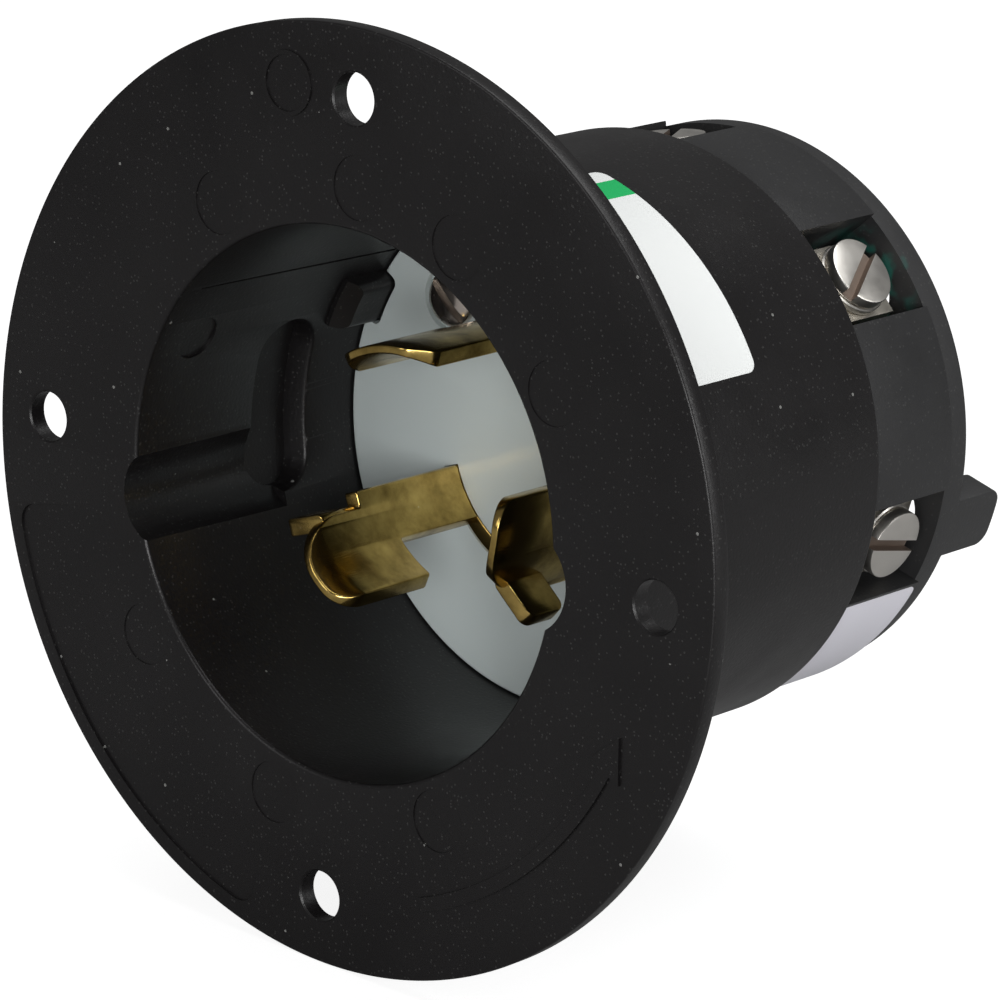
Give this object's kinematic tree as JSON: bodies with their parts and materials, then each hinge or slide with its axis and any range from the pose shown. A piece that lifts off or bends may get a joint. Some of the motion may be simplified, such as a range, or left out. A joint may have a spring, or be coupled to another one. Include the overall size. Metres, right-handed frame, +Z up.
{
  "type": "flanged power inlet",
  "caption": "Round flanged power inlet with a deep shrouded barrel, curved hooked blades on a white carrier, locking channels, side screw windows and a rear cap.",
  "frame": {"origin": "centre of the flange's back face, on the barrel axis, which is where it lies on the panel", "axes": "+Y along the barrel axis towards the rear cap and the wires, +Z up through the top mounting hole, +X through the right-hand mounting hole as seen from the open mouth"},
  "size_m": [0.101, 0.0745, 0.101],
  "materials": {
    "housing_black": "satin",
    "body_black": "satin",
    "cap_black": "satin",
    "nylon_white": "gloss",
    "blade_brass": "polished",
    "terminal_brass": "satin",
    "screw_nickel": "satin",
    "front_label_white": "satin",
    "rear_label_white": "satin"
  },
  "bodies": {
    "root": {"flange_housing": "housing_black", "contact_carrier": "nylon_white", "terminal_body": "body_black", "rear_cap": "cap_black", "line_1_blade": "blade_brass", "neutral_blade": "blade_brass", "line_2_blade": "blade_brass", "ground_strip": "terminal_brass", "upper_assembly_screw": "screw_nickel", "lower_assembly_screw": "screw_nickel", "upper_lock_nut": "screw_nickel", "lower_lock_nut": "screw_nickel", "front_label": "front_label_white", "rear_label": "rear_label_white", "line_1_terminal": "terminal_brass", "line_1_clamp_plate": "terminal_brass", "line_1_screw": "screw_nickel", "ground_terminal": "terminal_brass", "ground_clamp_plate": "terminal_brass", "ground_screw": "screw_nickel", "line_2_terminal": "terminal_brass", "line_2_clamp_plate": "terminal_brass", "line_2_screw": "screw_nickel", "neutral_terminal": "terminal_brass", "neutral_clamp_plate": "terminal_brass", "neutral_screw": "screw_nickel"}
  },
  "joints": []
}
